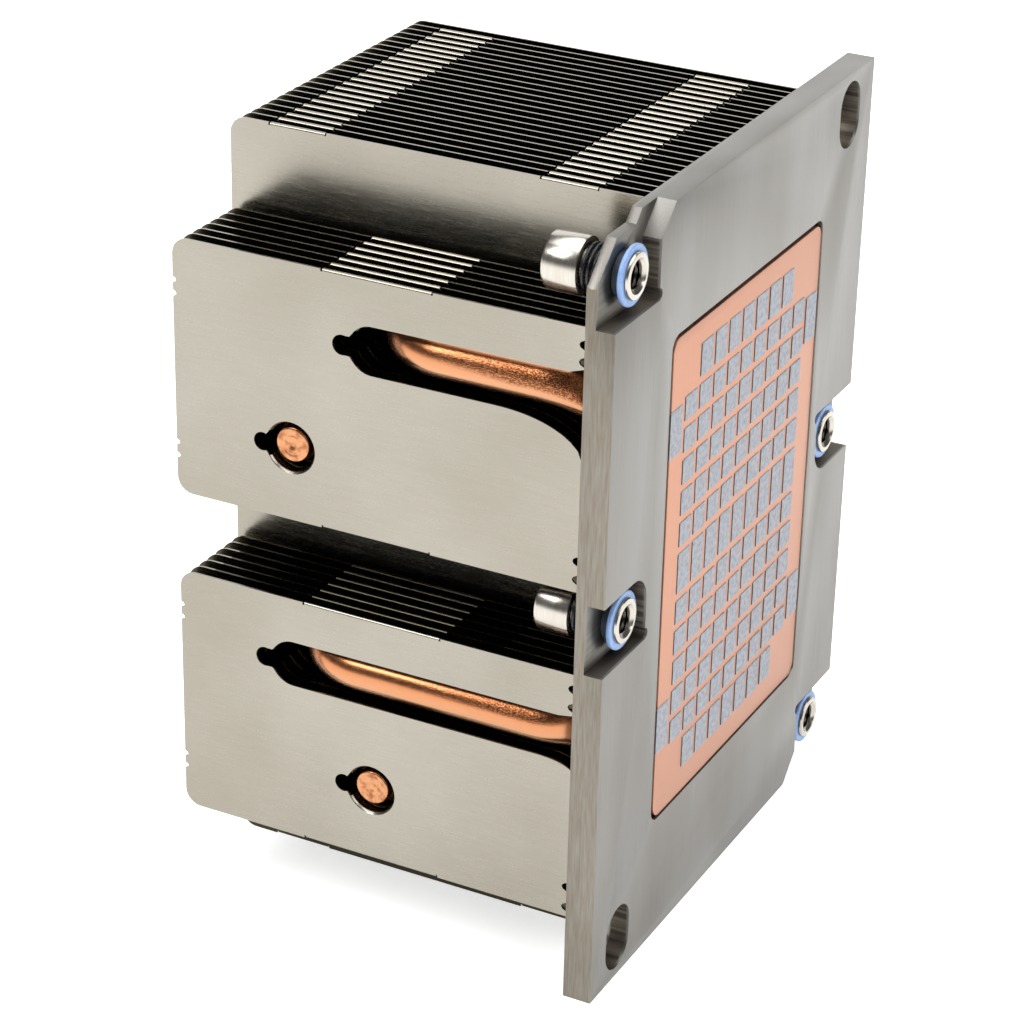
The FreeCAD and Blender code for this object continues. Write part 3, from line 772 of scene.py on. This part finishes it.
def stacked(leaf, count, firstY):
    holder = bpy.data.objects.new("leaf", leaf)
    mesh = grown(finStack, {"Fin": holder, "Count": count, "First": (0, firstY * mm, 0),
                            "Step": (0, fin["pitch"] * mm, 0), "Wobble": fin["wobble"], "Seed": fin["seed"],
                            "Finish": finishes["sheet"]})
    bpy.data.objects.remove(holder)
    return mesh


def joined(meshes):
    shape = bmesh.new()
    for mesh in meshes:
        shape.from_mesh(mesh)
    whole = bpy.data.meshes.new("joined")
    shape.to_mesh(whole)
    shape.free()
    return whole


firstCentral = fin["first"] + fin["side"] * fin["pitch"]
lastCentral = firstCentral + (fin["central"] - 1) * fin["pitch"]
centralLeaf = finMesh(centralForm, holeRadius["central"])
lastLeaf = finMesh(centralForm, holeRadius["central"], folded=False)  # the last fin has no next one to reach
lastLeaf.transform(Matrix.Translation((0, lastCentral * mm, 0)))
allCentral = joined([stacked(centralLeaf, fin["central"] - 1, firstCentral), lastLeaf])
centralNodes = [f"central_fin_{k:02d}" for k in range(1, fin["central"] + 1)]
placed("centralFins", finished(allCentral, 30), "sheet", "fins", heatsink, *centralNodes)
upperLeaf = finMesh(upperForm, holeRadius["side"])
lowerLeaf = finMesh(lowerForm, holeRadius["side"])
nearUpper = finished(stacked(upperLeaf, fin["side"], fin["first"]), 30)
nearLower = finished(stacked(lowerLeaf, fin["side"], fin["first"]), 30)
for name, mesh, node in (("nearUpperFins", nearUpper, "near_upper_fins"),
                         ("nearLowerFins", nearLower, "near_lower_fins"),
                         ("farLowerFins", turnedRound(nearUpper), "far_lower_fins"),
                         ("farUpperFins", turnedRound(nearLower), "far_upper_fins")):
    placed(name, mesh, "sheet", "fins", heatsink, node)
print("fins made")


pipe = {
    "radius": 3.0, "flat": 2.8, "bend": 9.0, "levelBend": 10.0, "levelRun": 0.5, "run": -35.48,
    "end": 38.33, "footEnd": 19.3, "axis": -2.58, "sides": 40, "bendSteps": 16, "levelSteps": 8,
    "flatFrom": 0.55, "plainRings": 4,
}
pipeForms = {"short": (30.5, 32.05, 24.6), "long": (42.45, -16.0, -16.4)}
pipeEndProfile = ((3.2, 3.0), (2.2, 2.95), (1.5, 2.82), (0.9, 2.62), (0.4, 2.46), (0.1, 2.4), (0.0, 2.28),
                  (0.0, 1.75), (0.1, 1.55), (0.12, 1.35), (0.02, 1.15), (0.0, 0.8), (0.2, 0.5), (0.22, 0.2))


def levelAngle(drop):
    across = pipe["bend"] + pipe["levelRun"]
    length = math.hypot(across, pipe["levelBend"])
    return math.asin((drop - pipe["levelBend"]) / length) + math.atan2(pipe["levelBend"], across)


def pipeStations(reach, height, foot):
    # centre, thickness direction, width direction, flatness and size at each station
    x = plate["back"] - reach
    z = plate["middle"] + height
    angle = levelAngle(height - foot)
    lean = Vector((0, math.cos(angle), -math.sin(angle)))
    width = Vector((0, math.sin(angle), math.cos(angle)))
    legTurn = Matrix.Rotation(-math.pi / 2, 3, "Z")
    leg = (legTurn @ -lean, legTurn @ width)
    rows = [(Vector((x, pipe["end"] - back, z)), *leg, 0, r / pipe["radius"])
            for back, r in pipeEndProfile[::-1]]
    centre = Vector((x + pipe["bend"], pipe["run"] + pipe["bend"], z))
    for step in range(pipe["bendSteps"] + 1):
        turn = Matrix.Rotation(math.radians(90 * (step / pipe["bendSteps"] - 1)), 3, "Z")
        rows.append((centre + turn @ Vector((0, -pipe["bend"], 0)), turn @ -lean, turn @ width, 0, 1))
    centre = Vector((pipe["axis"] - pipe["bend"], pipe["run"], z)) + lean * pipe["bend"]
    for step in range(pipe["bendSteps"] + 1):
        part = step / pipe["bendSteps"]
        out = Matrix.Rotation(math.radians(90 * part), 3, width) @ -lean
        ease = part * part * (3 - 2 * part)
        rows.append((centre + out * pipe["bend"], out, width, ease, 1))
    out = Vector((1, 0, 0))
    start = centre + out * pipe["bend"] + lean * pipe["levelRun"]
    centre = start + width * pipe["levelBend"]
    for step in range(pipe["levelSteps"] + 1):
        turn = Matrix.Rotation(angle * step / pipe["levelSteps"], 3, out)
        spoke = turn @ width
        rows.append((centre - spoke * pipe["levelBend"], out, spoke, 1, 1))
    up = Vector((0, 0, 1))
    footZ = rows[-1][0].z
    for back, size in ((1.5, 1), (0.4, 0.92), (0.05, 0.72)):
        rows.append((Vector((pipe["axis"], pipe["footEnd"] - back, footZ)), out, up, 1, size))
    return rows


def pipeRing(centre, out, width, flat, size):
    # round where flat is 0, pressed between two flats where it is 1
    flatHalf = pipe["flat"] / 2
    straight = math.pi * (2 * pipe["radius"] - pipe["flat"]) / 4
    points = []
    for k in range(pipe["sides"]):
        angle = 2 * math.pi * (k + 0.5) / pipe["sides"]
        thick, wide = math.cos(angle), math.sin(angle)
        edge = pipe["flatFrom"]
        side = max(-1.0, min(1.0, wide / edge)) if abs(wide) < edge else math.copysign(1, wide)
        lean = math.asin(max(-1, min(1, (abs(wide) - edge) / (1 - edge)))) if abs(wide) > edge else 0
        flatWide = straight * side + (math.copysign(flatHalf * math.sin(lean), wide) if lean else 0)
        flatThick = flatHalf * (math.cos(lean) if lean else 1) * (1 if thick >= 0 else -1)
        t = size * (thick * pipe["radius"] * (1 - flat) + flatThick * flat)
        w = size * (wide * pipe["radius"] * (1 - flat) + flatWide * flat)
        points.append(centre + out * t + width * w)
    return points


def pipeMesh(form):
    shape = bmesh.new()
    cut = shape.verts.layers.float.new("cut")
    rings = [[shape.verts.new(p * mm) for p in pipeRing(*row)] for row in pipeStations(*form)]
    for ring in rings[:len(pipeEndProfile) - pipe["plainRings"]]:
        for corner in ring:
            corner[cut] = 1.0
    joinRows(shape, rings)
    shape.faces.new(rings[0])
    shape.faces.new(rings[-1])
    return finished(meshOf(shape), 50)


shortPipe, longPipe = pipeMesh(pipeForms["short"]), pipeMesh(pipeForms["long"])
pipes = (shortPipe, turnedRound(longPipe), longPipe, turnedRound(shortPipe))
for number, mesh in enumerate(pipes, 1):
    placed(f"heatPipe{number}", mesh, "tube", "copper_pipe", heatsink, f"heat_pipe_{number}")
print("pipes made")


nut = {
    "barrel": 3.8, "sleeve": 2.6, "lip": 3.05, "lipLow": -0.76, "top": -0.26, "shoulder": -6.9,
    "end": -11.8, "bore": 1.72, "boreDepth": 8.0, "thread": 0.7, "threadDepth": 0.22, "drive": 4.0,
    "driveDepth": 2.5, "threadSteps": 66, "sides": 48,
}
nutPlaces = ((-33.9, 101.4), (-33.2, 54.0), (33.2, 54.0), (33.9, 6.6))


def hexRadius(angle):
    inside = (angle % (math.pi / 3)) - math.pi / 6
    return nut["drive"] / 2 / math.cos(inside)


def threadRadius(x, angle):
    share = ((nut["top"] - x) / nut["thread"] - angle / (2 * math.pi)) % 1
    return nut["bore"] + nut["threadDepth"] * (0.5 - abs(share - 0.5)) * 2 - 0.04


def nutRings():
    # depth and radius from the drive's floor, over the outside, to the bore's floor
    end, shoulder, top, lipLow = nut["end"], nut["shoulder"], nut["top"], nut["lipLow"]
    barrel, sleeve, lip = nut["barrel"], nut["sleeve"], nut["lip"]
    rings = [(end + nut["driveDepth"] + 0.4, 0.0), (end + nut["driveDepth"], hexRadius),
             (end + 0.3, hexRadius), (end, 2.65), (end, barrel - 0.4), (end + 0.12, barrel - 0.12),
             (end + 0.4, barrel), (shoulder - 0.35, barrel), (shoulder - 0.1, barrel - 0.1),
             (shoulder, barrel - 0.35), (shoulder, sleeve), (lipLow, sleeve), (lipLow, lip - 0.1),
             (lipLow + 0.1, lip), (top - 0.22, lip), (top - 0.06, lip - 0.08), (top, lip - 0.22),
             (top, 2.3), (top - 0.4, 1.95)]
    bottom = top - nut["boreDepth"]
    for k in range(nut["threadSteps"] + 1):
        x = top - 0.5 - (nut["boreDepth"] - 0.9) * k / nut["threadSteps"]
        rings.append((x, lambda angle, x=x: threadRadius(x, angle)))
    rings += [(bottom + 0.3, 1.6), (bottom, 0.0)]
    return rings


def turnedMesh(rings, y, z):
    # depths and radii turned round the line at y, z; "bore" marks the painted shade inside the thread or the
    # drive
    sides = nut["sides"]
    shape = bmesh.new()
    bore = shape.verts.layers.float.new("bore")
    rows = []
    for x, radius in rings:
        row = []
        for k in range(sides):
            angle = 2 * math.pi * k / sides
            r = radius(angle) if callable(radius) else radius
            if r == 0 and row:
                continue
            corner = shape.verts.new(sized((x, y + r * math.cos(angle), z + r * math.sin(angle))))
            corner[bore] = 1.0 if r < 1.9 or x < nut["end"] + 3 and r < 2.5 else 0.0
            row.append(corner)
        rows.append(row)
    for near, far in zip(rows, rows[1:]):
        for k in range(sides):
            j = (k + 1) % sides
            corners = [near[k % len(near)], near[j % len(near)], far[j % len(far)], far[k % len(far)]]
            corners = [c for n, c in enumerate(corners) if c not in corners[:n]]
            if len(corners) > 2:
                shape.faces.new(corners)
    return shape


ringForm = {"low": -2.58, "front": -0.78, "inner": 2.66, "base": 3.0, "flange": 3.95, "flangeDepth": 0.6}


def ringRings():
    # a narrow base that stands on the pocket's floor under a wider flange
    low, front = ringForm["low"], ringForm["front"]
    inner, base, flange = ringForm["inner"], ringForm["base"], ringForm["flange"]
    step = front - ringForm["flangeDepth"]
    rings = [(low, inner + 0.1), (low, base - 0.12), (low + 0.1, base), (step - 0.06, base),
             (step, base + 0.08), (step, flange - 0.12), (step + 0.06, flange - 0.03), (step + 0.14, flange),
             (front - 0.14, flange), (front - 0.04, flange - 0.06), (front, flange - 0.2),
             (front, inner + 0.22), (front - 0.06, inner + 0.06), (front - 0.2, inner), (low + 0.1, inner)]
    return rings + rings[:1]


def coilTree():
    tree, given = newTree("coilSpring", {"Turns": "Float", "Radius": "Float", "Length": "Float",
                                         "Wire": "Float", "Place": "Vector", "Finish": "Material"})
    spiral = addNode(tree, "GeometryNodeCurveSpiral", {"Resolution": 40},
                     {"Rotations": given["Turns"], "Start Radius": given["Radius"],
                      "End Radius": given["Radius"], "Height": given["Length"]})
    wire = addNode(tree, "GeometryNodeCurvePrimitiveCircle", {"Resolution": 12}, {"Radius": given["Wire"]})
    tube = addNode(tree, "GeometryNodeCurveToMesh", {"Fill Caps": True},
                   {"Curve": spiral.outputs[0], "Profile Curve": wire.outputs[0]})
    lie = addNode(tree, "GeometryNodeTransform", {"Rotation": (0, math.radians(90), 0)},
                  {"Geometry": tube.outputs[0], "Translation": given["Place"]})
    closeTree(tree, lie.outputs[0], given)
    return tree


spring = {"turns": 3.2, "radius": 2.95, "wire": 0.29, "low": -6.6, "length": 2.3, "pressed": 0.59}
coilSpring = coilTree()
for number, (y, z) in enumerate(nutPlaces, 1):
    nutMesh = meshOf(turnedMesh(nutRings(), y, z))
    placed(f"captiveNut{number}", finished(nutMesh, 38), "nut", "nut_steel",
           f"nut_{number}", f"captive_nut_{number}")
    ringShape = turnedMesh(ringRings(), y, z)
    bmesh.ops.remove_doubles(ringShape, verts=ringShape.verts, dist=0.001 * mm)
    placed(f"retainingRing{number}", finished(meshOf(ringShape), 50), "ring", "ring_blue",
           f"ring_{number}", f"retaining_ring_{number}")
    coil = grown(coilSpring, {"Turns": spring["turns"], "Radius": spring["radius"] * mm,
                              "Length": spring["length"] * mm, "Wire": spring["wire"] * mm,
                              "Place": sized((spring["low"], y, z)), "Finish": finishes["spring"]})
    springPiece = placed(f"nutSpring{number}", finished(coil, 60), "spring", "spring_black",
                         heatsink, f"nut_spring_{number}")
    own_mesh(springPiece)
print("nuts, springs and rings made")


lamps = {
    "front": {"place": (-0.60, -0.80, 1.02), "size": 0.6, "power": 7.5},
    "right": {"place": (1.10, -0.35, 1.05), "size": 0.8, "power": 5.5},
    "back": {"place": (-0.66, 1.28, 0.70), "size": 1.2, "power": 5.5},
    "top": {"place": (-0.2, 0.1, 1.5), "size": 1.4, "power": 12.0},
}
lampAim = (-0.03, 0, 0.05)
floorHalf = 3.0
white = (1.0, 1.0, 1.0, 1.0)


def studio():
    # a paper floor that glows a little, as on a light table, a room that is dark between floor and ceiling in
    # reflections and white behind the object, and four soft boxes
    floorMaterial, tree, shader, place = newFinish("paperFloorMatt", "#ffffff", 0.0, 0.9)
    soft = grain(tree, place, 60, (1, 1, 1), 2)
    surfaced(tree, shader, tinted(tree, soft, "#fbfbfb", "#ffffff"))
    shader.inputs["Emission Color"].default_value = white
    seen = addNode(tree, "ShaderNodeLightPath").outputs["Is Camera Ray"]
    tree.links.new(eased(tree, (seen, 0.5, 0.7, 0.0, 1.0)), shader.inputs["Emission Strength"])
    floorShape = bmesh.new()
    bmesh.ops.create_grid(floorShape, x_segments=1, y_segments=1, size=floorHalf)
    floorMesh = meshOf(floorShape)
    if floorMesh.polygons[0].normal.z < 0:
        floorMesh.flip_normals()
    floorMesh.materials.append(floorMaterial)
    floor = bpy.data.objects.new("floor", floorMesh)
    bpy.context.scene.collection.objects.link(floor)
    world = bpy.data.worlds.new("studio")
    world.use_nodes = True
    tree = world.node_tree
    look = addNode(tree, "ShaderNodeTexCoord").outputs["Generated"]
    rise = addNode(tree, "ShaderNodeSeparateXYZ", {}, {0: look}).outputs[2]
    sky = addNode(tree, "ShaderNodeMath", {"operation": "ADD"},
                  {0: eased(tree, (rise, 0.9, 0.1, 0.0, 0.12)), 1: eased(tree, (rise, 0.0, 0.9, 0.78, 0.9))})
    seen = addNode(tree, "ShaderNodeLightPath").outputs["Is Camera Ray"]
    shown = addNode(tree, "ShaderNodeMath", {"operation": "MAXIMUM"}, {0: sky.outputs[0], 1: seen})
    tree.links.new(shown.outputs[0], tree.nodes["Background"].inputs["Strength"])
    tree.nodes["Background"].inputs["Color"].default_value = white
    bpy.context.scene.world = world
    for name, form in lamps.items():
        light = bpy.data.lights.new(name, "AREA")
        light.size = form["size"]
        light.energy = form["power"]
        lamp = bpy.data.objects.new(name, light)
        lamp.location = form["place"]
        aim = Vector(lampAim) - Vector(form["place"])
        lamp.rotation_euler = aim.to_track_quat("-Z", "Y").to_euler()
        bpy.context.scene.collection.objects.link(lamp)


# the camera that was fitted to the photograph: its focal length in pixels, its place and its three directions
photoView = {
    "focal": 3249.2, "width": 1024, "sensor": 36.0, "place": (151.39, -364.91, 248.16),
    "right": (0.88675, 0.46177, 0.02120), "up": (-0.22061, 0.38245, 0.89725),
    "back": (0.40621, -0.80031, 0.44101),
}


def photoCamera():
    lens = bpy.data.cameras.new("photo")
    lens.sensor_width = photoView["sensor"]
    lens.lens = photoView["focal"] / photoView["width"] * photoView["sensor"]
    lens.clip_start = 0.01
    camera = bpy.data.objects.new("photo", lens)
    turn = Matrix([photoView[side] for side in ("right", "up", "back")]).transposed().to_4x4()
    camera.matrix_world = Matrix.Translation(sized(photoView["place"])) @ turn
    bpy.context.scene.collection.objects.link(camera)
    bpy.context.scene.camera = camera


studio()
photoCamera()
bpy.context.scene.view_settings.view_transform = "Standard"
print("studio and camera made")
